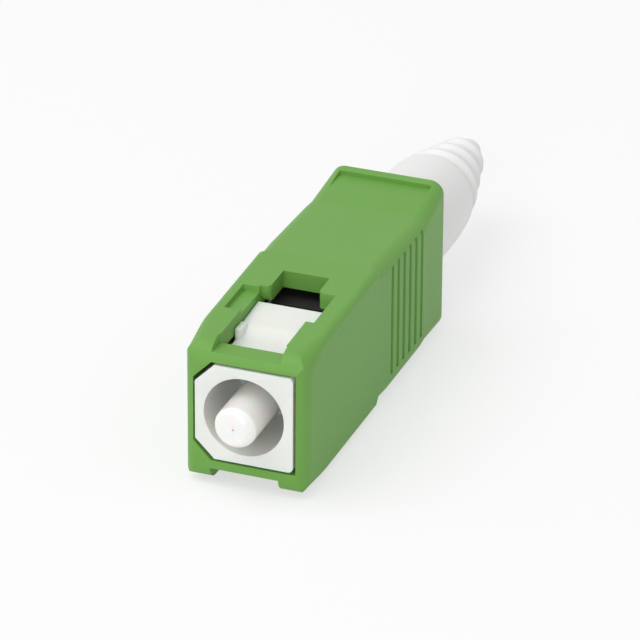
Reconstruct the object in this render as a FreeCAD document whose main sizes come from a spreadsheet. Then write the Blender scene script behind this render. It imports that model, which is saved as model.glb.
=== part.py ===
import FreeCAD, Part
import math
import os
import Sketcher

# SC fibre connector, angled-polish type, for 0.9 mm buffered fibre.
# The ferrule's axis is the Y axis. Y = 0 is the plug frame's front face, the ferrule points
# to -Y and the boot to +Y. +Z is up and the polarity key is on the -X side.

SIZES = {
    # plug frame, the inner body that stays still in an adapter
    "frame_width": 5.85,
    "frame_height": 5.9,
    "frame_length": 14.6,
    "frame_key_chamfer": 1.15,
    "frame_corner_radius": 0.3,
    "frame_bore": 4.8,
    "shoulder_start": 5.3,
    "shoulder_thickness": 0.9,
    "shoulder_hole_clearance": 0.25,
    "frame_rear_bore": 5.0,
    # latch ridges on the frame's top and bottom
    "latch_width": 3.8,
    "latch_foot": 3.5,
    "latch_knee": 4.7,
    "latch_knee_rise": 0.47,
    "latch_rear": 7.05,
    "latch_rise": 0.65,
    "latch_arm_width": 0.4,
    "latch_arm_length": 1.45,
    "latch_ear_width": 0.35,
    "latch_ear_length": 1.0,
    "latch_ear_rise": 0.6,
    # windows of the frame, where the stop ring's lugs snap in
    "snap_window_start": 7.9,
    "snap_window_length": 3.2,
    "snap_window_width": 3.8,
    "snap_clearance": 0.15,
    # ferrule, its flange and the fibre's guide tube
    "ferrule_diameter": 2.5,
    "ferrule_reach": 1.7,
    "ferrule_seat_depth": 2.5,
    "ferrule_cone_length": 0.5,
    "ferrule_tip_diameter": 1.35,
    "ferrule_nose_radius": 0.8,
    "ferrule_polish_angle": 8.0,
    "ferrule_capillary": 0.13,
    "ferrule_funnel_diameter": 0.9,
    "ferrule_funnel_length": 0.8,
    "flange_diameter": 4.4,
    "flange_thickness": 1.6,
    "flange_slot_width": 0.8,
    "flange_slot_depth": 0.4,
    "flange_hub_wall": 0.25,
    "flange_hub_end": 0.5,
    "flange_tail_length": 4.6,
    "flange_tail_wall": 0.35,
    "guide_tube_diameter": 0.95,
    "guide_tube_bore": 0.6,
    "guide_tube_length": 9.0,
    "guide_tube_clearance": 0.02,
    # spring behind the flange
    "spring_wire": 0.4,
    "spring_turns": 5.0,
    "spring_room": 4.8,
    "spring_side_clearance": 0.1,
    "spring_seat_clearance": 0.03,
    # stop ring, the black rear part that closes the frame
    "stop_barrel_clearance": 0.06,
    "stop_barrel_start": 8.7,
    "stop_lug_sink": 0.15,
    "stop_collar_length": 1.0,
    "stop_collar_clearance": 0.15,
    "stop_stem_diameter": 3.8,
    "stop_stem_length": 5.0,
    "stop_rib_height": 0.12,
    "stop_rib_pitch": 1.2,
    "stop_rib_count": 3.0,
    "tail_clearance": 0.1,
    # outer housing, the green sleeve that slides on the frame
    "housing_width": 7.4,
    "front_height_up": 4.12,
    "front_height_down": 4.42,
    "front_edge_radius": 0.45,
    "front_lead_radius": 1.5,
    "foot_lead_radius": 0.9,
    "mouth_edge_radius": 1.0,
    "step_place": 11.5,
    "step_height_up": 4.47,
    "step_length": 0.4,
    "grip_start": 13.2,
    "grip_end": 18.9,
    "grip_swell": 0.08,
    "grip_height_up": 4.2,
    "grip_height_down": 4.28,
    "grip_edge_radius": 0.83,
    "tail_start": 19.8,
    "housing_length": 23.2,
    "tail_width": 6.98,
    "tail_height_up": 4.87,
    "tail_height_down": 4.7,
    "frame_gap": 0.14,
    "mouth_key_chamfer": 1.1,
    "latch_room": 0.06,
    "rear_room": 0.42,
    "latch_room_start": 4.0,
    # top and bottom windows of the housing
    "channel_width": 4.1,
    "channel_floor": 3.6,
    "window_start": 1.55,
    "window_width": 3.92,
    "window_end": 7.6,
    "notch_width": 2.8,
    "notch_end": 9.7,
    "notch_corner_radius": 0.35,
    "arm_pocket_start": 4.5,
    "arm_pocket_end": 7.9,
    "arm_pocket_reach": 2.45,
    "ledge_start": 4.5,
    "ledge_end": 7.4,
    "ledge_reach": 2.95,
    "ledge_floor": 4.0,
    # grip ribs, polarity key and rear recess
    "groove_count": 6.0,
    "groove_first": 13.75,
    "groove_pitch": 1.0,
    "groove_width": 0.42,
    "groove_depth": 0.28,
    "groove_top": 3.75,
    "groove_foot": 3.2,
    "key_start": 4.6,
    "key_width": 1.6,
    "key_height": 0.7,
    "recess_start": 21.0,
    "recess_depth": 0.28,
    "recess_lip": 0.5,
    "recess_half_width": 2.9,
    # boot
    "boot_diameter": 5.9,
    "boot_bend_start": 28.0,
    "boot_neck_place": 33.7,
    "boot_neck_diameter": 4.3,
    "boot_end": 38.2,
    "boot_end_diameter": 2.3,
    "boot_ring_count": 3.0,
    "boot_groove_width": 0.6,
    "boot_groove_depth": 0.35,
    "boot_stem_clearance": 0.05,
    "boot_wall_behind_stem": 0.3,
    "boot_funnel_length": 3.0,
    "cable_hole": 1.0,
}


class Size:
    """A number together with the sheet expression that gives it."""

    def __init__(self, number, text):
        self.number = number
        self.text = text

    @staticmethod
    def of(other):
        return other if isinstance(other, Size) else Size(float(other), repr(float(other)))

    def __add__(self, other):
        other = Size.of(other)
        return Size(self.number + other.number, f"({self.text} + {other.text})")

    def __sub__(self, other):
        other = Size.of(other)
        return Size(self.number - other.number, f"({self.text} - {other.text})")

    def __mul__(self, other):
        other = Size.of(other)
        return Size(self.number * other.number, f"({self.text} * {other.text})")

    def __truediv__(self, other):
        other = Size.of(other)
        return Size(self.number / other.number, f"({self.text} / {other.text})")

    def __neg__(self):
        return Size(-self.number, f"(-1 * {self.text})")

    __radd__ = __add__
    __rmul__ = __mul__


def tangent(angle):
    return Size(math.tan(math.radians(angle.number)), f"tan({angle.text} * 1 deg)")


doc = FreeCAD.newDocument("sc_connector")
sheet = doc.addObject("Spreadsheet::Sheet", "Sizes")
for row, (name, number) in enumerate(SIZES.items(), start=1):
    sheet.set(f"A{row}", name)
    sheet.set(f"B{row}", str(number))
    sheet.setAlias(f"B{row}", name)
doc.recompute()


def size(name):
    return Size(SIZES[name], f"Sizes.{name}")


# Features ---------------------------------------------------------------------------------

def new_body(name):
    body = doc.addObject("PartDesign::Body", name)
    body.Label = name
    return body


def new_sketch(body, role, name, offset=None):
    """A sketch on one of the body's own origin planes, moved along its normal by offset."""
    sketch = body.newObject("Sketcher::SketchObject", name)
    plane = [item for item in body.Origin.OriginFeatures if item.Role == role][0]
    sketch.AttachmentSupport = [(plane, "")]
    sketch.MapMode = "FlatFace"
    if offset is not None:
        sketch.setExpression("AttachmentOffset.Base.z", offset.text)
    return sketch


def hold(sketch, constraint, expression):
    """Adds a constraint whose value follows a sheet expression."""
    index = sketch.addConstraint(constraint)
    sketch.setExpression(f"Constraints[{index}]", expression)


def hold_point(sketch, edge, end, corner):
    """Pins one end of an edge to its place from the sketch's origin."""
    across, along = Size.of(corner[0]), Size.of(corner[1])
    hold(sketch, Sketcher.Constraint("DistanceX", -1, 1, edge, end, across.number), across.text)
    hold(sketch, Sketcher.Constraint("DistanceY", -1, 1, edge, end, along.number), along.text)


def vector(corner):
    return FreeCAD.Vector(Size.of(corner[0]).number, Size.of(corner[1]).number, 0)


def arc_between(start, end, radius, left):
    """An arc from start to end whose centre lies to the left or to the right of the way."""
    chord = end - start
    rise = math.sqrt(max(radius * radius - chord.Length * chord.Length / 4, 0.0))
    side = FreeCAD.Vector(-chord.y, chord.x, 0).normalize() * (1 if left else -1)
    centre = (start + end) * 0.5 + side * rise
    first, last = (start, end) if left else (end, start)
    angles = [math.atan2(point.y - centre.y, point.x - centre.x) for point in (first, last)]
    if angles[1] < angles[0]:
        angles[1] += 2 * math.pi
    circle = Part.Circle(centre, FreeCAD.Vector(0, 0, 1), radius)
    return Part.ArcOfCircle(circle, angles[0], angles[1])


def outline(sketch, corners):
    """A closed outline. Each corner is (x, y), or (x, y, radius, left) for an arc to the next."""
    base = sketch.GeometryCount
    count = len(corners)
    ends = []
    for index, corner in enumerate(corners):
        start, end = vector(corner), vector(corners[(index + 1) % count])
        if len(corner) == 2:
            sketch.addGeometry(Part.LineSegment(start, end), False)
            ends.append((1, 2))
        else:
            radius = Size.of(corner[2])
            sketch.addGeometry(arc_between(start, end, radius.number, corner[3]), False)
            # a sketch's arcs run anticlockwise, so one that turns right starts at its far end
            ends.append((1, 2) if corner[3] else (2, 1))
    for index in range(count):
        following = (index + 1) % count
        sketch.addConstraint(Sketcher.Constraint(
            "Coincident", base + index, ends[index][1], base + following, ends[following][0]))
    for index, corner in enumerate(corners):
        hold_point(sketch, base + index, ends[index][0], corner)
        if len(corner) == 4:
            radius = Size.of(corner[2])
            hold(sketch, Sketcher.Constraint("Radius", base + index, radius.number), radius.text)


def spin(body, kind, name, corners):
    """Turns an outline, given as (radius, Y), about the Y axis: Revolution adds, Groove cuts."""
    sketch = new_sketch(body, "XY_Plane", f"{name}_outline")
    outline(sketch, corners)
    feature = body.newObject(f"PartDesign::{kind}", name)
    feature.Profile = sketch
    feature.ReferenceAxis = (sketch, ["V_Axis"])
    feature.Angle = 360.0
    return feature


def extrude(body, kind, name, role, outlines, length, offset=None, centred=True,
            reverse=False):
    """Pads or pockets one or more outlines drawn on one of the origin planes."""
    sketch = new_sketch(body, role, f"{name}_outline", offset)
    for corners in outlines:
        outline(sketch, corners)
    feature = body.newObject(f"PartDesign::{kind}", name)
    feature.Profile = sketch
    feature.Midplane = centred
    feature.Reversed = reverse
    feature.setExpression("Length", Size.of(length).text)
    return feature


def pattern(body, kind, name, features, role, **settings):
    """Repeats features about or along one of the body's origin axes."""
    repeat = body.newObject(f"PartDesign::{kind}", name)
    repeat.Originals = features
    axis = [item for item in body.Origin.OriginFeatures if item.Role == role][0]
    if kind == "PolarPattern":
        repeat.Axis = (axis, [""])
        repeat.Angle = 360.0
    else:
        repeat.Direction = (axis, [""])
    for setting, value in settings.items():
        if isinstance(value, Size):
            repeat.setExpression(setting, value.text)
        else:
            setattr(repeat, setting, value)
    body.Tip = repeat
    return repeat


def box_outline(low, high):
    return [(low[0], low[1]), (high[0], low[1]), (high[0], high[1]), (low[0], high[1])]


def round_section(half_width, up, down, radius):
    """A rounded rectangle about the axis, with its own heights above and below it."""
    flat = half_width - radius
    return [
        (-flat, -down), (flat, -down, radius, True),
        (half_width, radius - down), (half_width, up - radius, radius, True),
        (flat, up), (-flat, up, radius, True),
        (-half_width, up - radius), (-half_width, radius - down, radius, True),
    ]


# Shared places ----------------------------------------------------------------------------

frame_half_width = size("frame_width") / 2
frame_half_height = size("frame_height") / 2
latch_root = (size("frame_bore") + size("frame_height")) / 4
shoulder_end = size("shoulder_start") + size("shoulder_thickness")
snap_window_end = size("snap_window_start") + size("snap_window_length")
latch_top = frame_half_height + size("latch_rise")
latch_half = size("latch_width") / 2

ferrule_radius = size("ferrule_diameter") / 2
ferrule_tip = -size("ferrule_reach")
ferrule_rear = shoulder_end + size("ferrule_seat_depth")
flange_rear = shoulder_end + size("flange_thickness")
hub_radius = ferrule_radius + size("flange_hub_wall")
hub_end = ferrule_rear + size("flange_hub_end")
tube_radius = size("guide_tube_diameter") / 2
tail_bore = tube_radius + size("guide_tube_clearance")
tail_radius = tail_bore + size("flange_tail_wall")
spring_radius = hub_radius + size("spring_side_clearance") + size("spring_wire") / 2
spring_end = flange_rear + size("spring_room")

stop_bore = spring_radius + size("spring_wire") / 2 + size("spring_side_clearance")
stop_barrel_radius = size("frame_rear_bore") / 2 - size("stop_barrel_clearance")
stop_collar_end = size("frame_length") + size("stop_collar_length")
stop_stem_radius = size("stop_stem_diameter") / 2
stop_end = stop_collar_end + size("stop_stem_length")

housing_half = size("housing_width") / 2
step_end = size("step_place") + size("step_length")
mouth_half_width = frame_half_width + size("frame_gap")
mouth_half_height = frame_half_height + size("frame_gap")
lip_start = size("housing_length") - size("recess_lip")


def part_way(start, end, fraction):
    return start + (end - start) * fraction


def front_top(place):
    return part_way(size("front_height_up"), size("step_height_up"), place / size("step_place"))


def tail_top(place):
    fraction = (place - size("tail_start")) / (size("housing_length") - size("tail_start"))
    return part_way(size("grip_height_up"), size("tail_height_up"), fraction)


# Pieces -----------------------------------------------------------------------------------

def make_plug_frame():
    body = new_body("plug_frame")
    chamfer, corner = size("frame_key_chamfer"), size("frame_corner_radius")
    wide, tall = frame_half_width, frame_half_height
    block = [
        (chamfer - wide, -tall), (wide - corner, -tall, corner, True),
        (wide, corner - tall), (wide, tall - corner, corner, True),
        (wide - corner, tall), (chamfer - wide, tall),
        (-wide, tall - chamfer), (-wide, chamfer - tall),
    ]
    extrude(body, "Pad", "frame_block", "XZ_Plane", [block], size("frame_length"),
            centred=False, reverse=True)
    front_bore, rear_bore = size("frame_bore") / 2, size("frame_rear_bore") / 2
    hole = ferrule_radius + size("shoulder_hole_clearance")
    spin(body, "Groove", "frame_bores", [
        (0, 0), (front_bore, 0), (front_bore, size("shoulder_start")),
        (hole, size("shoulder_start")), (hole, shoulder_end), (rear_bore, shoulder_end),
        (rear_bore, size("frame_length")), (0, size("frame_length")),
    ])
    # the ridge that the adapter's hook climbs and catches behind
    ridge = extrude(body, "Pad", "latch_ridge", "YZ_Plane", [[
        (size("latch_foot"), latch_root), (size("latch_rear"), latch_root),
        (size("latch_rear"), latch_top),
        (size("latch_knee"), frame_half_height + size("latch_knee_rise")),
        (size("latch_foot"), frame_half_height),
    ]], size("latch_width"))
    arm_start = size("latch_rear") - size("latch_arm_length")
    along = (arm_start - size("latch_knee")) / (size("latch_rear") - size("latch_knee"))
    arm_rise = part_way(size("latch_knee_rise"), size("latch_rise"), along)
    arm = extrude(body, "Pad", "latch_arm", "YZ_Plane", [[
        (arm_start, latch_root), (size("latch_rear"), latch_root),
        (size("latch_rear"), latch_top), (arm_start, frame_half_height + arm_rise),
    ]], latch_half + size("latch_arm_width"), centred=False)
    ear_end = size("latch_foot") + size("latch_ear_length")
    ear_inner = latch_half - size("latch_ear_width")
    ears = extrude(body, "Pad", "latch_ears", "XY_Plane", [
        box_outline((-latch_half, size("latch_foot")), (-ear_inner, ear_end)),
        box_outline((ear_inner, size("latch_foot")), (latch_half, ear_end)),
    ], frame_half_height + size("latch_ear_rise") - latch_root, latch_root, centred=False)
    pattern(body, "PolarPattern", "latches", [ridge, arm, ears], "Y_Axis", Occurrences=2)
    half_window = size("snap_window_width") / 2
    extrude(body, "Pocket", "snap_windows", "XY_Plane", [box_outline(
        (-half_window, size("snap_window_start")), (half_window, snap_window_end))],
        size("frame_height"))
    return body


def make_ferrule():
    body = new_body("ferrule")
    tip_radius = size("ferrule_tip_diameter") / 2
    capillary = size("ferrule_capillary") / 2
    spin(body, "Revolution", "ferrule_turned", [
        (capillary, ferrule_tip),
        (tip_radius, ferrule_tip, size("ferrule_nose_radius"), True),
        (ferrule_radius, ferrule_tip + size("ferrule_cone_length")),
        (ferrule_radius, ferrule_rear), (size("ferrule_funnel_diameter") / 2, ferrule_rear),
        (capillary, ferrule_rear - size("ferrule_funnel_length")),
    ])
    # the angled polish, lower on the key side
    slant = (tip_radius + ferrule_radius) * tangent(size("ferrule_polish_angle"))
    extrude(body, "Pocket", "ferrule_polish", "XY_Plane", [[
        (-ferrule_radius, ferrule_tip), (tip_radius, ferrule_tip),
        (-ferrule_radius, ferrule_tip + slant),
    ]], size("ferrule_diameter"))
    return body


def make_ferrule_flange():
    body = new_body("ferrule_flange")
    collar = size("flange_diameter") / 2
    tail_end = hub_end + size("flange_tail_length")
    spin(body, "Revolution", "flange_turned", [
        (ferrule_radius, shoulder_end), (collar, shoulder_end), (collar, flange_rear),
        (hub_radius, flange_rear), (hub_radius, hub_end), (tail_radius, hub_end),
        (tail_radius, tail_end), (tail_bore, tail_end), (tail_bore, ferrule_rear),
        (ferrule_radius, ferrule_rear),
    ])
    slot_half = size("flange_slot_width") / 2
    slot = extrude(body, "Pocket", "flange_slot", "XZ_Plane", [box_outline(
        (collar - size("flange_slot_depth"), -slot_half), (collar, slot_half))],
        size("flange_thickness"), -shoulder_end, centred=False)
    pattern(body, "PolarPattern", "flange_slots", [slot], "Y_Axis", Occurrences=4)
    return body


def make_guide_tube():
    body = new_body("guide_tube")
    inner, end = size("guide_tube_bore") / 2, ferrule_rear + size("guide_tube_length")
    spin(body, "Revolution", "tube_drawn", [
        (inner, ferrule_rear), (tube_radius, ferrule_rear), (tube_radius, end), (inner, end),
    ])
    return body


def make_spring():
    body = new_body("spring")
    wire, gap = size("spring_wire"), size("spring_seat_clearance")
    sketch = new_sketch(body, "XY_Plane", "spring_wire_section")
    middle, half = flange_rear + gap + wire / 2, wire / 2
    # six flats stand for the round wire
    flat = half * tangent(Size.of(30))
    outline(sketch, [
        (spring_radius - flat, middle - half), (spring_radius + flat, middle - half),
        (spring_radius + flat * 2, middle), (spring_radius + flat, middle + half),
        (spring_radius - flat, middle + half), (spring_radius - flat * 2, middle),
    ])
    helix = body.newObject("PartDesign::AdditiveHelix", "spring_coil")
    helix.Profile = sketch
    helix.ReferenceAxis = (sketch, ["V_Axis"])
    helix.Mode = "height-turns-angle"
    rise = size("spring_room") - wire - gap * 2
    helix.setExpression("Height", rise.text)
    helix.setExpression("Turns", size("spring_turns").text)
    return body


def make_stop_ring():
    body = new_body("stop_ring")
    collar = frame_half_width - size("stop_collar_clearance")
    barrel_start = size("stop_barrel_start")
    profile = [
        (0, barrel_start), (stop_barrel_radius, barrel_start),
        (stop_barrel_radius, size("frame_length")), (collar, size("frame_length")),
        (collar, stop_collar_end), (stop_stem_radius, stop_collar_end),
    ]
    # shallow grooves leave barbed rings that grip the boot
    cut, pitch = size("stop_rib_height"), size("stop_rib_pitch")
    for index in range(round(size("stop_rib_count").number)):
        groove = stop_collar_end + pitch * (index + 0.5)
        profile += [
            (stop_stem_radius, groove), (stop_stem_radius - cut, groove + pitch / 4),
            (stop_stem_radius - cut, groove + pitch / 2), (stop_stem_radius, groove + pitch / 2),
        ]
    profile += [(stop_stem_radius, stop_end), (0, stop_end)]
    spin(body, "Revolution", "stop_turned", profile)
    lug_half = size("snap_window_width") / 2 - size("snap_clearance")
    lug_end = snap_window_end - size("snap_clearance")
    extrude(body, "Pad", "snap_lugs", "XY_Plane", [box_outline(
        (-lug_half, barrel_start), (lug_half, lug_end))],
        size("frame_height") - size("stop_lug_sink") * 2)
    tail_hole = tail_radius + size("tail_clearance")
    spin(body, "Groove", "stop_bores", [
        (0, barrel_start), (stop_bore, barrel_start), (stop_bore, spring_end),
        (tail_hole, spring_end), (tail_hole, stop_end), (0, stop_end),
    ])
    return body


def make_boot():
    body = new_body("boot")
    full, neck = size("boot_diameter") / 2, size("boot_neck_diameter") / 2
    tip = size("boot_end_diameter") / 2
    hole = size("cable_hole") / 2
    socket = stop_stem_radius + size("boot_stem_clearance")
    socket_end = stop_end + size("boot_wall_behind_stem")
    neck_place, end = size("boot_neck_place"), size("boot_end")
    # the swelling runs into the neck by one arc that leaves the straight part smoothly
    run, fall = neck_place - size("boot_bend_start"), full - neck
    bend = (run * run / fall + fall) / 2

    def surface(place):
        return part_way(neck, tip, (place - neck_place) / (end - neck_place))

    profile = [
        (socket, stop_collar_end), (full, stop_collar_end),
        (full, size("boot_bend_start"), bend, True),
    ]
    rings = round(size("boot_ring_count").number)
    pitch = (end - neck_place) / rings
    for index in range(rings):
        start = neck_place + pitch * index
        stop = start + size("boot_groove_width")
        profile += [
            (surface(start), start), (surface(start) - size("boot_groove_depth"), start),
            (surface(stop) - size("boot_groove_depth"), stop), (surface(stop), stop),
        ]
    profile += [
        (tip, end), (hole, end), (hole, socket_end + size("boot_funnel_length")),
        (socket, socket_end),
    ]
    spin(body, "Revolution", "boot_moulded", profile)
    return body


def make_outer_housing():
    body = new_body("outer_housing")
    grip_half = housing_half + size("grip_swell")
    down, grip_down = size("front_height_down"), size("grip_height_down")
    sharp, soft = size("front_edge_radius"), size("grip_edge_radius")
    step_up, grip_up = size("step_height_up"), size("grip_height_up")
    grip_along = (size("grip_start") - step_end) / (size("grip_end") - step_end)
    grip_first_up = part_way(step_up, grip_up, grip_along)
    stations = [
        (Size.of(0), housing_half, size("front_height_up"), down, sharp),
        (size("step_place"), housing_half, step_up, down, sharp),
        (step_end, housing_half, step_up, grip_down, soft),
        (size("grip_start"), grip_half, grip_first_up, grip_down, soft),
        (size("grip_end"), grip_half, grip_up, grip_down, soft),
        (size("tail_start"), housing_half, grip_up, grip_down, soft),
        (size("housing_length"), size("tail_width") / 2, size("tail_height_up"),
         size("tail_height_down"), soft),
    ]
    sections = []
    for index, (place, half, up, below, radius) in enumerate(stations):
        sketch = new_sketch(body, "XZ_Plane", f"housing_section_{index}", -place)
        outline(sketch, round_section(half, up, below, radius))
        sections.append(sketch)
    loft = body.newObject("PartDesign::AdditiveLoft", "housing_skin")
    loft.Profile = sections[0]
    loft.Sections = [(sketch, [""]) for sketch in sections[1:]]
    loft.Ruled = True

    # polarity key on the -X side, bevelled at both ends
    key = size("key_height")
    key_root = -(housing_half + mouth_half_width) / 2
    key_end = size("step_place")
    extrude(body, "Pad", "polarity_key", "XY_Plane", [[
        (key_root, size("key_start")), (key_root, key_end), (-housing_half, key_end),
        (-housing_half - key, key_end - key), (-housing_half - key, size("key_start") + key),
        (-housing_half, size("key_start")),
    ]], size("key_width"))

    # rounded lead-ins: top and bottom of the mouth, then its two upright edges
    lead, foot = size("front_lead_radius"), size("foot_lead_radius")
    lead_top = front_top(lead)
    extrude(body, "Pocket", "mouth_lead_ins", "YZ_Plane", [
        [(-lead, lead_top - lead), (0, lead_top - lead, lead, False), (lead, lead_top),
         (lead, lead_top + lead), (-lead, lead_top + lead)],
        [(-foot, foot - down), (-foot, -down - foot), (foot, -down - foot),
         (foot, -down, foot, False), (0, foot - down)],
    ], size("housing_width"))
    edge = size("mouth_edge_radius")
    extrude(body, "Pocket", "mouth_edges", "XY_Plane", [
        [(housing_half - edge, 0, edge, True), (housing_half, edge),
         (housing_half + edge, edge), (housing_half + edge, -edge), (housing_half - edge, -edge)],
        [(edge - housing_half, 0, edge, False), (-housing_half, edge),
         (-housing_half - edge, edge), (-housing_half - edge, -edge), (edge - housing_half, -edge)],
    ], step_up * 3)

    # the cavity that slides on the frame, and the deeper track for its latches
    chamfer = size("mouth_key_chamfer")
    wide, tall = mouth_half_width, mouth_half_height
    extrude(body, "Pocket", "cavity", "XZ_Plane", [[
        (chamfer - wide, -tall), (wide, -tall), (wide, tall), (chamfer - wide, tall),
        (-wide, tall - chamfer), (-wide, chamfer - tall),
    ]], size("housing_length"), centred=False)
    half_window, arm_end = size("window_width") / 2, size("arm_pocket_end")
    track, roof = size("arm_pocket_reach"), latch_top + size("latch_room")
    track_start = size("latch_room_start")
    extrude(body, "Pocket", "latch_track", "XZ_Plane", [[
        (-track, -roof), (half_window, -roof), (half_window, 0), (track, 0), (track, roof),
        (-half_window, roof), (-half_window, 0), (-track, 0),
    ]], arm_end - track_start, -track_start, centred=False)
    rear_roof = frame_half_height + size("rear_room")
    extrude(body, "Pocket", "rear_room", "XZ_Plane", [box_outline(
        (-half_window, -rear_roof), (half_window, rear_roof))],
        size("housing_length") - arm_end, -arm_end, centred=False)

    # what opens on the top, and again on the bottom half a turn round
    half_channel = size("channel_width") / 2
    half_notch, bend = size("notch_width") / 2, size("notch_corner_radius")
    window_end = size("window_end")
    channel = extrude(body, "Pocket", "channel", "XY_Plane", [box_outline(
        (-half_channel, -size("window_start")), (half_channel, size("window_start")))],
        size("channel_floor"), size("channel_floor"), centred=False, reverse=True)
    window = extrude(body, "Pocket", "window", "XY_Plane", [[
        (-half_window, size("window_start")), (half_window, size("window_start")),
        (half_window, size("arm_pocket_start")), (track, size("arm_pocket_start")),
        (track, arm_end), (half_notch + bend, arm_end, bend, False),
        (half_notch, arm_end + bend), (half_notch, size("notch_end")),
        (-half_notch, size("notch_end")), (-half_notch, window_end + bend, bend, False),
        (-half_notch - bend, window_end), (-half_window, window_end),
    ]], tall, frame_half_height, centred=False, reverse=True)
    ledge = extrude(body, "Pocket", "ledge", "XY_Plane", [box_outline(
        (-size("ledge_reach"), size("ledge_start")), (-half_notch, size("ledge_end")))],
        tall, size("ledge_floor"), centred=False, reverse=True)
    pattern(body, "PolarPattern", "openings", [channel, window, ledge], "Y_Axis", Occurrences=2)

    # six grooves on each side leave the grip ribs
    floor, rim = grip_half - size("groove_depth"), grip_half + size("groove_depth")
    first, half_groove = size("groove_first"), size("groove_width") / 2
    groove = extrude(body, "Pocket", "grip_groove", "XY_Plane", [
        [(floor, first - half_groove / 2), (rim, first - half_groove * 1.5),
         (rim, first + half_groove * 1.5), (floor, first + half_groove / 2)],
        [(-floor, first - half_groove / 2), (-rim, first - half_groove * 1.5),
         (-rim, first + half_groove * 1.5), (-floor, first + half_groove / 2)],
    ], size("groove_top") + size("groove_foot"), -size("groove_foot"), centred=False,
        reverse=True)
    pattern(body, "LinearPattern", "grip_grooves", [groove], "Y_Axis",
            Occurrences=size("groove_count"),
            Length=size("groove_pitch") * (size("groove_count") - 1))

    # a shallow recess that fades in from the grip and ends at a raised lip
    recess, depth = size("recess_start"), size("recess_depth")
    extrude(body, "Pocket", "tail_recess", "YZ_Plane", [[
        (recess, tail_top(recess)), (lip_start, tail_top(lip_start) - depth),
        (lip_start, tail_top(lip_start) + depth), (recess, tail_top(recess) + depth),
    ]], size("recess_half_width") * 2)
    return body


PIECES = [
    make_plug_frame(), make_ferrule(), make_ferrule_flange(), make_guide_tube(),
    make_spring(), make_stop_ring(), make_boot(), make_outer_housing(),
]
doc.recompute()

failed = [item.Name for item in doc.Objects
          if "Invalid" in item.State or "Error" in item.State]
failed += [piece.Label for piece in PIECES
           if piece.Shape.isNull() or not piece.Shape.isValid() or len(piece.Shape.Solids) != 1]
if failed:
    raise RuntimeError(f"these did not build: {failed}")

os.makedirs("parts", exist_ok=True)
for piece in PIECES:
    piece.Shape.exportStep(f"parts/{piece.Label}.step")
    print(piece.Label, round(piece.Shape.Volume, 3), "mm3", piece.Shape.BoundBox)
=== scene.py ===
import math

import bmesh
import bpy
from mathutils import Matrix, Vector


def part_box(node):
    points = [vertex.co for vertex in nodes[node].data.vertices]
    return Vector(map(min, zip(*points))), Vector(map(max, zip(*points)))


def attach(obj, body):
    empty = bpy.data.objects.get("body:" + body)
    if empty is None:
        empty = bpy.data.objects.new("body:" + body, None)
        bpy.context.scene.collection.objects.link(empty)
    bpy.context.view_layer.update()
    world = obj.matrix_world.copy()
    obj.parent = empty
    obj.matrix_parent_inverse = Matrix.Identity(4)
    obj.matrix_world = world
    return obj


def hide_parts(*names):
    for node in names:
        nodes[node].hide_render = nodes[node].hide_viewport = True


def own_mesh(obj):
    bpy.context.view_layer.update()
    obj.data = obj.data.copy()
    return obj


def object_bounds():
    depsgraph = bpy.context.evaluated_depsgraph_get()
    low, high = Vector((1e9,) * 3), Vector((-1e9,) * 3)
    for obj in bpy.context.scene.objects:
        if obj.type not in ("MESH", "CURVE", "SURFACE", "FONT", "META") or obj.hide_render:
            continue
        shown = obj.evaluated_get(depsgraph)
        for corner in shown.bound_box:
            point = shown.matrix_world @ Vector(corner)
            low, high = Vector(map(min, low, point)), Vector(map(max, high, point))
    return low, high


mm = 0.001  # the frame is in metres

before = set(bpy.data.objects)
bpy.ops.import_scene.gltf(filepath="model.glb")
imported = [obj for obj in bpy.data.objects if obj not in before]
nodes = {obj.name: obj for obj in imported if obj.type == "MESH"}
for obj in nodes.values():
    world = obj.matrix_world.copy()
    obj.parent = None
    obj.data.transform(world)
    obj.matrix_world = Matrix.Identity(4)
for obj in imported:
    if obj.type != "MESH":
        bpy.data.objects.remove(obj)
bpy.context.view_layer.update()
print("frame loaded:", ", ".join(sorted(nodes)))


def linearColour(hexCode):
    # sRGB hex to the linear values that the shaders take
    parts = [int(hexCode[i:i + 2], 16) / 255 for i in (1, 3, 5)]
    linear = [p / 12.92 if p <= 0.04045 else ((p + 0.055) / 1.055) ** 2.4 for p in parts]
    return (*linear, 1)


def easeInOut(x):
    x = min(max(x, 0), 1)
    return x * x * (3 - 2 * x)


sortWeights = Vector((1.0, 7.31, 53.9))  # no two corners or faces come out alike


def makeObject(name, bm):
    # operators leave their results in no fixed order, so it is set by place, the same each run
    bm.verts.sort(key=lambda vert: vert.co.dot(sortWeights))
    bm.edges.sort(key=lambda edge: (edge.verts[0].co + edge.verts[1].co).dot(sortWeights))
    bm.faces.sort(key=lambda face: face.calc_center_median().dot(sortWeights))
    mesh = bpy.data.meshes.new(name)
    bm.to_mesh(mesh)
    bm.free()
    piece = bpy.data.objects.new(name, mesh)
    bpy.context.scene.collection.objects.link(piece)
    return piece


def addNode(tree, kind, links=None, **settings):
    # settings: node attributes by name, or input sockets by their label
    node = tree.nodes.new(kind)
    for name, value in settings.items():
        if hasattr(node, name):
            setattr(node, name, value)
        else:
            node.inputs[name.replace("_", " ")].default_value = value
    for socket, source in (links or {}).items():
        tree.links.new(source, node.inputs[socket])
    return node


def newMaterial(name):
    material = bpy.data.materials.new(name)
    material.use_nodes = True
    material.node_tree.nodes.clear()
    return material, material.node_tree


def perMetre(sizeMm):
    # a pattern's scale from the real size of one cell
    return 1 / (sizeMm * mm)


noiseSpan = dict(From_Min=0.3, From_Max=0.7)  # most of a noise pattern lies between these


greenLook = dict(
    colour="#70a54d", deepColour="#6ba048", cloudMm=2.6,
    roughness=(0.41, 0.54), sheen=0.26, ior=1.5,
    grainMm=0.14, grainDepthMm=0.0035,
)


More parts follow.
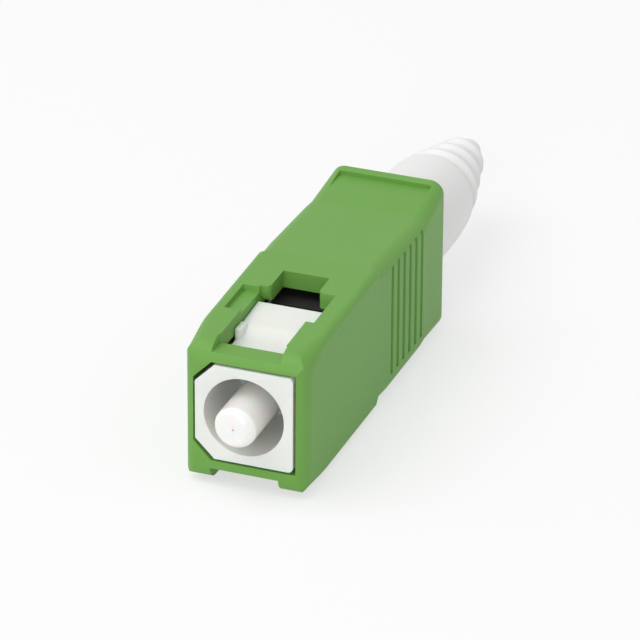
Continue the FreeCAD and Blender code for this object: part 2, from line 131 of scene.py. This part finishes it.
def mouldedGreenPbt():
    # PBT from a spark-eroded mould: even leaf green with a fine satin grain
    look = greenLook
    material, tree = newMaterial("mouldedGreenPbt")
    place = addNode(tree, "ShaderNodeTexCoord").outputs["Object"]
    cloud = addNode(tree, "ShaderNodeTexNoise", {"Vector": place},
                    Scale=perMetre(look["cloudMm"]), Detail=3)
    # the real grain is about 0.03 mm; drawn coarser so that it shows
    grain = addNode(tree, "ShaderNodeTexNoise", {"Vector": place},
                    Scale=perMetre(look["grainMm"]), Detail=4, Roughness=0.6)
    bump = addNode(tree, "ShaderNodeBump", {"Height": grain.outputs["Fac"]},
                   Strength=0.5, Distance=look["grainDepthMm"] * mm)
    tone = addNode(tree, "ShaderNodeMix", {"Factor": cloud.outputs["Fac"]}, data_type="RGBA",
                   A=linearColour(look["deepColour"]), B=linearColour(look["colour"]))
    rough = addNode(tree, "ShaderNodeMapRange", {"Value": grain.outputs["Fac"]}, **noiseSpan,
                    To_Min=look["roughness"][0], To_Max=look["roughness"][1])
    shader = addNode(tree, "ShaderNodeBsdfPrincipled",
                     {"Base Color": tone.outputs["Result"], "Roughness": rough.outputs["Result"],
                      "Normal": bump.outputs["Normal"]},
                     IOR=look["ior"], Specular_IOR_Level=look["sheen"])
    addNode(tree, "ShaderNodeOutputMaterial", {"Surface": shader.outputs["BSDF"]})
    return material


whiteLook = dict(
    colour="#eeefea", deepColour="#e9ebe5", flowMm=1.8,
    roughness=0.3, ior=1.5, grainMm=0.3, grainDepthMm=0.002,
    lightInside=0.3, lightDepthMm=0.8,
)


def mouldedWhitePbt():
    # PBT from a polished mould: white with a trace of yellow, smoother and glossier than the
    # housing, light passes a little way in
    look = whiteLook
    material, tree = newMaterial("mouldedWhitePbt")
    place = addNode(tree, "ShaderNodeTexCoord").outputs["Object"]
    flow = addNode(tree, "ShaderNodeTexNoise", {"Vector": place},
                   Scale=perMetre(look["flowMm"]), Detail=2)
    grain = addNode(tree, "ShaderNodeTexNoise", {"Vector": place},
                    Scale=perMetre(look["grainMm"]), Detail=3)
    bump = addNode(tree, "ShaderNodeBump", {"Height": grain.outputs["Fac"]},
                   Strength=0.4, Distance=look["grainDepthMm"] * mm)
    tone = addNode(tree, "ShaderNodeMix", {"Factor": flow.outputs["Fac"]}, data_type="RGBA",
                   A=linearColour(look["deepColour"]), B=linearColour(look["colour"]))
    shader = addNode(tree, "ShaderNodeBsdfPrincipled",
                     {"Base Color": tone.outputs["Result"], "Normal": bump.outputs["Normal"]},
                     Roughness=look["roughness"], IOR=look["ior"],
                     Subsurface_Weight=look["lightInside"],
                     Subsurface_Scale=look["lightDepthMm"] * mm)
    addNode(tree, "ShaderNodeOutputMaterial", {"Surface": shader.outputs["BSDF"]})
    return material


ceramicLook = dict(
    colour="#f7f6f3", roughness=(0.18, 0.26), ior=2.1,
    groundMm=0.05, groundStretch=(0.15, 1, 0.15),  # grinding marks run round the axis
    lightInside=0.6, lightDepthMm=1.4,
)


def groundZirconia():
    # zirconia ground on centres and polished at the tip: milky white with a wet shine
    look = ceramicLook
    material, tree = newMaterial("groundZirconia")
    place = addNode(tree, "ShaderNodeTexCoord").outputs["Object"]
    stretched = addNode(tree, "ShaderNodeMapping", {"Vector": place},
                        Scale=look["groundStretch"])
    marks = addNode(tree, "ShaderNodeTexNoise", {"Vector": stretched.outputs["Vector"]},
                    Scale=perMetre(look["groundMm"]), Detail=2)
    rough = addNode(tree, "ShaderNodeMapRange", {"Value": marks.outputs["Fac"]}, **noiseSpan,
                    To_Min=look["roughness"][0], To_Max=look["roughness"][1])
    shader = addNode(tree, "ShaderNodeBsdfPrincipled", {"Roughness": rough.outputs["Result"]},
                     Base_Color=linearColour(look["colour"]), IOR=look["ior"],
                     Subsurface_Weight=look["lightInside"],
                     Subsurface_Scale=look["lightDepthMm"] * mm)
    addNode(tree, "ShaderNodeOutputMaterial", {"Surface": shader.outputs["BSDF"]})
    return material


brassLook = dict(colour="#cfccc4", roughness=0.28, ringMm=0.754, ringDepthMm=0.003)


def turnedNickelBrass():
    # nickel-plated brass off the lathe: bright warm grey with rings round the axis
    look = brassLook
    material, tree = newMaterial("turnedNickelBrass")
    place = addNode(tree, "ShaderNodeTexCoord").outputs["Object"]
    # a real tool's rings are about 0.1 mm apart; drawn coarser so that they show
    # (a wave texture of scale 1 repeats every tau / 20)
    rings = addNode(tree, "ShaderNodeTexWave", {"Vector": place}, wave_type="BANDS",
                    bands_direction="Y", Scale=perMetre(look["ringMm"]) * math.tau / 20,
                    Distortion=0.4, Detail=2)
    bump = addNode(tree, "ShaderNodeBump", {"Height": rings.outputs["Fac"]},
                   Strength=0.35, Distance=look["ringDepthMm"] * mm)
    shader = addNode(tree, "ShaderNodeBsdfPrincipled", {"Normal": bump.outputs["Normal"]},
                     Base_Color=linearColour(look["colour"]), Metallic=1.0,
                     Roughness=look["roughness"])
    addNode(tree, "ShaderNodeOutputMaterial", {"Surface": shader.outputs["BSDF"]})
    return material


ptfeLook = dict(
    colour="#f0f1f0", deepColour="#e2e4e4", roughness=0.4, ior=1.35,
    drawnMm=0.1, drawnStretch=(1, 0.08, 1),  # streaks run along the tube
    lightInside=0.3, lightDepthMm=0.4,
)


def extrudedPtfe():
    # extruded PTFE tube: waxy white, light passes a little way in
    look = ptfeLook
    material, tree = newMaterial("extrudedPtfe")
    place = addNode(tree, "ShaderNodeTexCoord").outputs["Object"]
    stretched = addNode(tree, "ShaderNodeMapping", {"Vector": place},
                        Scale=look["drawnStretch"])
    streaks = addNode(tree, "ShaderNodeTexNoise", {"Vector": stretched.outputs["Vector"]},
                      Scale=perMetre(look["drawnMm"]), Detail=2)
    tone = addNode(tree, "ShaderNodeMix", {"Factor": streaks.outputs["Fac"]}, data_type="RGBA",
                   A=linearColour(look["deepColour"]), B=linearColour(look["colour"]))
    shader = addNode(tree, "ShaderNodeBsdfPrincipled", {"Base Color": tone.outputs["Result"]},
                     Roughness=look["roughness"], IOR=look["ior"],
                     Subsurface_Weight=look["lightInside"],
                     Subsurface_Scale=look["lightDepthMm"] * mm)
    addNode(tree, "ShaderNodeOutputMaterial", {"Surface": shader.outputs["BSDF"]})
    return material


wireLook = dict(colour="#b9babc", roughness=(0.22, 0.36), drawnMm=0.08)


def drawnSpringSteel():
    # stainless spring wire: grey metal, dull and bright in fine patches from drawing
    look = wireLook
    material, tree = newMaterial("drawnSpringSteel")
    place = addNode(tree, "ShaderNodeTexCoord").outputs["Object"]
    patches = addNode(tree, "ShaderNodeTexNoise", {"Vector": place},
                      Scale=perMetre(look["drawnMm"]), Detail=3)
    rough = addNode(tree, "ShaderNodeMapRange", {"Value": patches.outputs["Fac"]}, **noiseSpan,
                    To_Min=look["roughness"][0], To_Max=look["roughness"][1])
    shader = addNode(tree, "ShaderNodeBsdfPrincipled", {"Roughness": rough.outputs["Result"]},
                     Base_Color=linearColour(look["colour"]), Metallic=1.0)
    addNode(tree, "ShaderNodeOutputMaterial", {"Surface": shader.outputs["BSDF"]})
    return material


nylonLook = dict(
    colour="#262224", deepColour="#1d191b", roughness=0.55, ior=1.52,
    fibreMm=0.2, fibreDepthMm=0.004,
)


def mouldedBlackNylon():
    # glass-filled nylon: near black with a dull, faintly fibrous surface
    look = nylonLook
    material, tree = newMaterial("mouldedBlackNylon")
    place = addNode(tree, "ShaderNodeTexCoord").outputs["Object"]
    fibres = addNode(tree, "ShaderNodeTexNoise", {"Vector": place},
                     Scale=perMetre(look["fibreMm"]), Detail=4, Roughness=0.65)
    bump = addNode(tree, "ShaderNodeBump", {"Height": fibres.outputs["Fac"]},
                   Strength=0.5, Distance=look["fibreDepthMm"] * mm)
    tone = addNode(tree, "ShaderNodeMix", {"Factor": fibres.outputs["Fac"]}, data_type="RGBA",
                   A=linearColour(look["deepColour"]), B=linearColour(look["colour"]))
    shader = addNode(tree, "ShaderNodeBsdfPrincipled",
                     {"Base Color": tone.outputs["Result"], "Normal": bump.outputs["Normal"]},
                     Roughness=look["roughness"], IOR=look["ior"])
    addNode(tree, "ShaderNodeOutputMaterial", {"Surface": shader.outputs["BSDF"]})
    return material


bootLook = dict(
    colour="#f2f2f1", deepColour="#ececeb", cloudMm=2.2,
    roughness=0.42, ior=1.48, grainMm=0.18, grainDepthMm=0.003,
    lightInside=0.04, lightDepthMm=0.25,
)


def mouldedWhiteElastomer():
    # moulded thermoplastic elastomer: plain soft white with a dull sheen
    look = bootLook
    material, tree = newMaterial("mouldedWhiteElastomer")
    place = addNode(tree, "ShaderNodeTexCoord").outputs["Object"]
    cloud = addNode(tree, "ShaderNodeTexNoise", {"Vector": place},
                    Scale=perMetre(look["cloudMm"]), Detail=3)
    grain = addNode(tree, "ShaderNodeTexNoise", {"Vector": place},
                    Scale=perMetre(look["grainMm"]), Detail=4)
    bump = addNode(tree, "ShaderNodeBump", {"Height": grain.outputs["Fac"]},
                   Strength=0.45, Distance=look["grainDepthMm"] * mm)
    tone = addNode(tree, "ShaderNodeMix", {"Factor": cloud.outputs["Fac"]}, data_type="RGBA",
                   A=linearColour(look["deepColour"]), B=linearColour(look["colour"]))
    shader = addNode(tree, "ShaderNodeBsdfPrincipled",
                     {"Base Color": tone.outputs["Result"], "Normal": bump.outputs["Normal"]},
                     Roughness=look["roughness"], IOR=look["ior"],
                     Subsurface_Weight=look["lightInside"],
                     Subsurface_Scale=look["lightDepthMm"] * mm)
    addNode(tree, "ShaderNodeOutputMaterial", {"Surface": shader.outputs["BSDF"]})
    return material


finishes = {
    "outer_housing": mouldedGreenPbt(),
    "plug_frame": mouldedWhitePbt(),
    "ferrule": groundZirconia(),
    "ferrule_flange": turnedNickelBrass(),
    "guide_tube": extrudedPtfe(),
    "spring": drawnSpringSteel(),
    "stop_ring": mouldedBlackNylon(),
    "boot": mouldedWhiteElastomer(),
}
for name, material in finishes.items():
    nodes[name].data.materials.clear()
    nodes[name].data.materials.append(material)
print("finishes given to", len(finishes), "nodes")


# mould radii in mm; the frame's flats stay in triangles, because its face has a hole in it
# and shades darker at one edge when it is joined up
edgeRounds = {
    "plug_frame": dict(radius=0.07, segments=2, joinFlats=False),
    "ferrule": dict(radius=0.08, segments=3, joinFlats=True),
}
housingRounds = dict(radius=0.07, segments=2, joinFlats=True)
# mm, and degrees between faces: less is flat, more is an edge
softening = dict(mergeDistance=0.002, flatAngle=1, edgeAngle=32)


def joinCorners(node):
    # a CAD node's mesh is loose triangles
    weld = node.modifiers.new("joinCorners", "WELD")
    weld.merge_threshold = softening["mergeDistance"] * mm


def softenEdges(node, radius, segments, joinFlats):
    joinCorners(node)
    if joinFlats:
        flat = node.modifiers.new("joinFlats", "DECIMATE")
        flat.decimate_type = "DISSOLVE"
        flat.angle_limit = math.radians(softening["flatAngle"])
    bevel = node.modifiers.new("mouldRadius", "BEVEL")
    bevel.width = radius * mm
    bevel.segments = segments
    bevel.limit_method = "ANGLE"
    bevel.angle_limit = math.radians(softening["edgeAngle"])
    bevel.use_clamp_overlap = True
    # flat faces keep flat shading, the small rounds take the turn
    shading = node.modifiers.new("flatFaces", "WEIGHTED_NORMAL")
    shading.mode = "FACE_AREA"
    shading.weight = 100


for name, rounds in edgeRounds.items():
    softenEdges(nodes[name], **rounds)
print("edges softened on", ", ".join(edgeRounds))


springForm = dict(
    # wire and travel in mm; a closed turn climbs by closedPitch wires
    wire=0.4, closedTurns=0.85, activeTurns=3.3, closedPitch=1.02, travel=0.8,
    wireSides=10, stepsPerTurn=28,
)


def makeSpring():
    form = springForm
    low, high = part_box("spring")
    length = high[1] - low[1]
    wire = form["wire"] * mm
    coilRadius = (high[0] - low[0] - wire) / 2
    closedRise = wire * form["closedTurns"] * form["closedPitch"]
    activeRise = length - wire - 2 * closedRise
    bm = bmesh.new()
    section = bmesh.ops.create_circle(bm, cap_ends=False, radius=wire / 2,
                                      segments=form["wireSides"])
    bmesh.ops.translate(bm, verts=section["verts"], vec=(coilRadius, low[1] + wire / 2, 0))
    ends = [list(bm.edges)]
    for turns, rise in [(form["closedTurns"], closedRise), (form["activeTurns"], activeRise),
                        (form["closedTurns"], closedRise)]:
        steps = round(turns * form["stepsPerTurn"])
        spun = bmesh.ops.spin(bm, geom=ends[-1], cent=(0, 0, 0), axis=(0, 1, 0),
                              dvec=(0, rise / steps, 0), angle=math.tau * turns,
                              steps=steps, use_merge=False, use_normal_flip=False,
                              use_duplicate=False)
        ends.append([g for g in spun["geom_last"] if isinstance(g, bmesh.types.BMEdge)])
    for end in (ends[0], ends[-1]):
        bmesh.ops.contextual_create(bm, geom=end)
    bmesh.ops.recalc_face_normals(bm, faces=bm.faces)
    for face in bm.faces:
        face.smooth = len(face.verts) == 4  # not the wire's two cut ends
    piece = makeObject("roundSpring", bm)
    piece.data.materials.append(finishes["spring"])
    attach(piece, "core")
    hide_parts("spring")
    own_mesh(piece)


makeSpring()
print("round spring made")


bootForm = dict(
    # places along the plug and widths across it, mm; the taper aims at the tip's place and
    # the boot ends a little before it
    bendStart=28.0, neckPlace=33.7, neckWidth=4.3, tipPlace=38.2, tipWidth=2.1,
    end=37.95, rimRadius=0.18,
    socketWidth=3.9, socketWall=0.3, funnelLength=3.0, holeWidth=1.0, holeEdge=0.1,
    # rings: depth in mm, lead and rise in parts of the pitch
    firstRing=31.75, ringPitch=1.93, ringCount=3, ringDepth=0.36, ringLead=0.6, ringRise=0.24,
    stepLength=0.11, rimSteps=6, sides=112, mergeDistance=0.0005, sharpAngle=40,
)


def ringDip(turn):
    # 1 at the foot of a ring, 0 on its crest; a short climb, then a long fall
    rise = bootForm["ringRise"]
    if turn < 0:
        return easeInOut(1 + turn / bootForm["ringLead"])
    if turn >= bootForm["ringCount"]:
        return 1
    phase = turn % 1
    if phase < rise:
        return 1 - easeInOut(phase / rise)
    return easeInOut((phase - rise) / (1 - rise))


def bootRadius(y, full):
    # one arc down to the neck, a straight taper behind it, rings cut in as soft steps
    form = bootForm
    neck, tip = form["neckWidth"] / 2, form["tipWidth"] / 2
    run, fall = form["neckPlace"] - form["bendStart"], full - neck
    bend = (run * run / fall + fall) / 2
    if y < form["bendStart"]:
        radius = full
    elif y < form["neckPlace"]:
        radius = full - bend + math.sqrt(bend ** 2 - (y - form["bendStart"]) ** 2)
    else:
        along = (y - form["neckPlace"]) / (form["tipPlace"] - form["neckPlace"])
        radius = neck + (tip - neck) * along
    return radius - form["ringDepth"] * ringDip((y - form["firstRing"]) / form["ringPitch"])


def makeBoot():
    form = bootForm
    low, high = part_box("boot")
    start, full = low[1] / mm, (high[0] - low[0]) / 2 / mm
    socket, hole, edge = form["socketWidth"] / 2, form["holeWidth"] / 2, form["holeEdge"]
    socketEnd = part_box("stop_ring")[1][1] / mm + form["socketWall"]
    rim, end = form["rimRadius"], form["end"]
    # half the section, as radius and place: outside, rim, hole, funnel, socket
    length = end - rim - start
    steps = round(length / form["stepLength"])
    places = [start + length * i / steps for i in range(steps + 1)]
    profile = [(bootRadius(y, full), y) for y in places]
    flat = profile[-1][0] - rim
    angles = [math.radians(90 * i / form["rimSteps"]) for i in range(1, form["rimSteps"] + 1)]
    profile += [(flat + rim * math.cos(a), end - rim + rim * math.sin(a)) for a in angles]
    profile += [(hole + edge, end), (hole, end - edge),
                (hole, socketEnd + form["funnelLength"]), (socket, socketEnd), (socket, start)]
    bm = bmesh.new()
    verts = [bm.verts.new((r * mm, y * mm, 0)) for r, y in profile]
    edges = [bm.edges.new((verts[i - 1], verts[i])) for i in range(len(verts))]
    bmesh.ops.spin(bm, geom=verts + edges, cent=(0, 0, 0), axis=(0, 1, 0),
                   angle=math.tau, steps=form["sides"], use_merge=True)
    bmesh.ops.remove_doubles(bm, verts=bm.verts, dist=form["mergeDistance"] * mm)
    bmesh.ops.recalc_face_normals(bm, faces=bm.faces)
    piece = makeObject("softBoot", bm)
    piece.data.shade_smooth()
    piece.data.set_sharp_from_angle(angle=math.radians(form["sharpAngle"]))
    piece.data.materials.append(finishes["boot"])
    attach(piece, "core")
    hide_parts("boot")


makeBoot()
print("soft boot made")


cornerForm = dict(
    # mm: how high the mouth's upper and lower edges lie, how far the grip stands out beyond it,
    # the rounds of its corners, and how far back they have faded into the long edges' own round
    topHeight=4.12, topSlope=0.0304, footHeight=4.42, gripSwell=0.08,
    topRadius=1.35, footRadius=0.85, longRadius=0.45, fadeLength=3.6,
    # how far the cutter stands out in front and at the sides, and its steps
    ahead=0.4, overhang=0.8, arcSteps=14, stations=12,
)


def cornerStrip(bm, up, height, slope, radius):
    # what one round corner takes away: its section at the mouth, pulled back and shrunk
    form = cornerForm
    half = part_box("outer_housing")[1][0] / mm - form["gripSwell"]
    y = -form["ahead"]
    start = bm.verts.new((half * mm, y * mm, up * (height - radius) * mm))
    arc = bmesh.ops.spin(bm, geom=[start], axis=(0, -up, 0), angle=math.pi / 2,
                         cent=((half - radius) * mm, y * mm, up * (height - radius) * mm),
                         steps=form["arcSteps"])
    outside = [bm.verts.new((x * mm, y * mm, up * z * mm))
               for x, z in ((half - radius, height + form["overhang"]),
                            (half + form["overhang"], height + form["overhang"]),
                            (half + form["overhang"], height - radius))]
    chain = [arc["geom_last"][0], *outside, start]
    for near, far in zip(chain, chain[1:]):
        bm.edges.new((near, far))
    section = bmesh.ops.contextual_create(bm, geom=[e for e in bm.edges if e.is_wire])
    face = section["faces"][0]
    corner = Vector((half, y, up * height)) * mm
    before = radius
    for station in range(1, form["stations"] + 1):
        part = station / form["stations"]
        after = radius + (form["longRadius"] - radius) * easeInOut(part)
        pulled = bmesh.ops.extrude_face_region(bm, geom=[face, *face.edges])
        face = next(g for g in pulled["geom"] if isinstance(g, bmesh.types.BMFace))
        place = Vector((half, form["fadeLength"] * part,
                        up * (height + slope * form["fadeLength"] * part))) * mm
        bmesh.ops.translate(bm, verts=face.verts, vec=place - corner)
        bmesh.ops.scale(bm, verts=face.verts, vec=(after / before, 1, after / before),
                        space=Matrix.Translation(-place))
        corner, before = place, after


def makeCornerCutter():
    form = cornerForm
    bm = bmesh.new()
    cornerStrip(bm, 1, form["topHeight"], form["topSlope"], form["topRadius"])
    cornerStrip(bm, -1, form["footHeight"], 0, form["footRadius"])
    bmesh.ops.mirror(bm, geom=bm.verts[:] + bm.edges[:] + bm.faces[:], axis="X", merge_dist=0)
    bmesh.ops.recalc_face_normals(bm, faces=bm.faces)
    return makeObject("cornerCutter", bm)


def makeHousing():
    # a copy of the solid, with the mouth's corners rounded like balls
    body = bpy.data.objects.new("roundedHousing", nodes["outer_housing"].data.copy())
    bpy.context.scene.collection.objects.link(body)
    joinCorners(body)
    cutter = makeCornerCutter()
    cut = body.modifiers.new("roundCorners", "BOOLEAN")
    cut.operation = "DIFFERENCE"
    cut.solver = "EXACT"
    cut.object = cutter
    depsgraph = bpy.context.evaluated_depsgraph_get()
    mesh = bpy.data.meshes.new_from_object(body.evaluated_get(depsgraph))
    body.modifiers.clear()
    body.data = mesh
    bpy.data.objects.remove(cutter)
    body.data.materials.clear()
    body.data.materials.append(finishes["outer_housing"])
    softenEdges(body, **housingRounds)
    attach(body, "housing")
    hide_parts("outer_housing")


makeHousing()
print("housing rounded at its mouth")


studio = dict(
    # floorFade: how much of the floor is seen as plain white, without its shadow
    floorSize=4.0, floorColour="#f4f4f4", floorGlow=1.03, floorFade=0.6, worldStrength=0.55,
    lampAim=(0, 0.014, 0),
)
lamps = {
    # metres and watts
    "keyLamp": dict(place=(-0.14, -0.10, 0.36), size=0.34, power=0.80),
    "fillLamp": dict(place=(0.08, -0.41, 0.17), size=0.16, power=0.42),
}
view = dict(
    # degrees, mm, and shares of the view's width
    azimuth=20.846, elevation=27.228, roll=0.287, distance=285.15, target=(0, 10, 0),
    sensor=36, lens=279.93, shiftX=0.0188, shiftY=0.0333, near=10, far=20000,
)


def seenRays(tree):
    # 1 where the camera, a reflection or a clear piece looks at the white
    paths = addNode(tree, "ShaderNodeLightPath")
    direct = addNode(tree, "ShaderNodeMath", {0: paths.outputs["Is Camera Ray"],
                                              1: paths.outputs["Is Glossy Ray"]},
                     operation="MAXIMUM")
    return addNode(tree, "ShaderNodeMath", {0: direct.outputs[0],
                                            1: paths.outputs["Is Transmission Ray"]},
                   operation="MAXIMUM").outputs[0]


def makeFloor():
    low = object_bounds()[0]
    bm = bmesh.new()
    bmesh.ops.create_grid(bm, x_segments=1, y_segments=1, size=studio["floorSize"] / 2)
    bmesh.ops.translate(bm, verts=bm.verts, vec=(0, 0, low[2]))
    floor = makeObject("floor", bm)
    # plain matt white board, lifted towards white where it is seen, part of its shadow kept
    material, tree = newMaterial("mattWhiteSweep")
    board = addNode(tree, "ShaderNodeBsdfDiffuse", Color=linearColour(studio["floorColour"]))
    glow = addNode(tree, "ShaderNodeEmission", Strength=studio["floorGlow"])
    fade = addNode(tree, "ShaderNodeMath", {0: seenRays(tree)}, operation="MULTIPLY")
    fade.inputs[1].default_value = studio["floorFade"]
    both = addNode(tree, "ShaderNodeMixShader", {"Fac": fade.outputs[0], 1: board.outputs[0],
                                                 2: glow.outputs[0]})
    addNode(tree, "ShaderNodeOutputMaterial", {"Surface": both.outputs["Shader"]})
    floor.data.materials.append(material)


def makeWorld():
    world = bpy.data.worlds.new("softStudio")
    world.use_nodes = True
    tree = world.node_tree
    tree.nodes.clear()
    strength = addNode(tree, "ShaderNodeMapRange", {"Value": seenRays(tree)},
                       To_Min=studio["worldStrength"], To_Max=1.0)
    light = addNode(tree, "ShaderNodeBackground", {"Strength": strength.outputs["Result"]},
                    Color=(1, 1, 1, 1))
    addNode(tree, "ShaderNodeOutputWorld", {"Surface": light.outputs["Background"]})
    bpy.context.scene.world = world


def addLamp(name, place, size, power):
    lamp = bpy.data.lights.new(name, "AREA")
    lamp.shape = "SQUARE"
    lamp.size = size
    lamp.energy = power
    holder = bpy.data.objects.new(name, lamp)
    bpy.context.scene.collection.objects.link(holder)
    direction = Vector(studio["lampAim"]) - Vector(place)
    holder.matrix_world = (Matrix.Translation(place)
                           @ direction.to_track_quat("-Z", "Y").to_matrix().to_4x4())


def makeCamera():
    camera = bpy.data.cameras.new("viewCamera")
    camera.sensor_width = view["sensor"]
    camera.lens = view["lens"]
    camera.shift_x = view["shiftX"]
    camera.shift_y = view["shiftY"]
    camera.clip_start = view["near"] * mm
    camera.clip_end = view["far"] * mm
    holder = bpy.data.objects.new("viewCamera", camera)
    bpy.context.scene.collection.objects.link(holder)
    azimuth, elevation = math.radians(view["azimuth"]), math.radians(view["elevation"])
    back = Vector((math.sin(azimuth) * math.cos(elevation),
                   -math.cos(azimuth) * math.cos(elevation), math.sin(elevation)))
    right = Vector((math.cos(azimuth), math.sin(azimuth), 0))
    turn = Matrix((right, back.cross(right), back)).transposed().to_4x4()
    roll = Matrix.Rotation(math.radians(view["roll"]), 4, "Z")
    place = (Vector(view["target"]) + back * view["distance"]) * mm
    holder.matrix_world = Matrix.Translation(place) @ turn @ roll
    bpy.context.scene.camera = holder


makeFloor()
makeWorld()
for name, lamp in lamps.items():
    addLamp(name, **lamp)
makeCamera()
bpy.context.scene.view_settings.view_transform = "Standard"
print("floor, light and camera set")
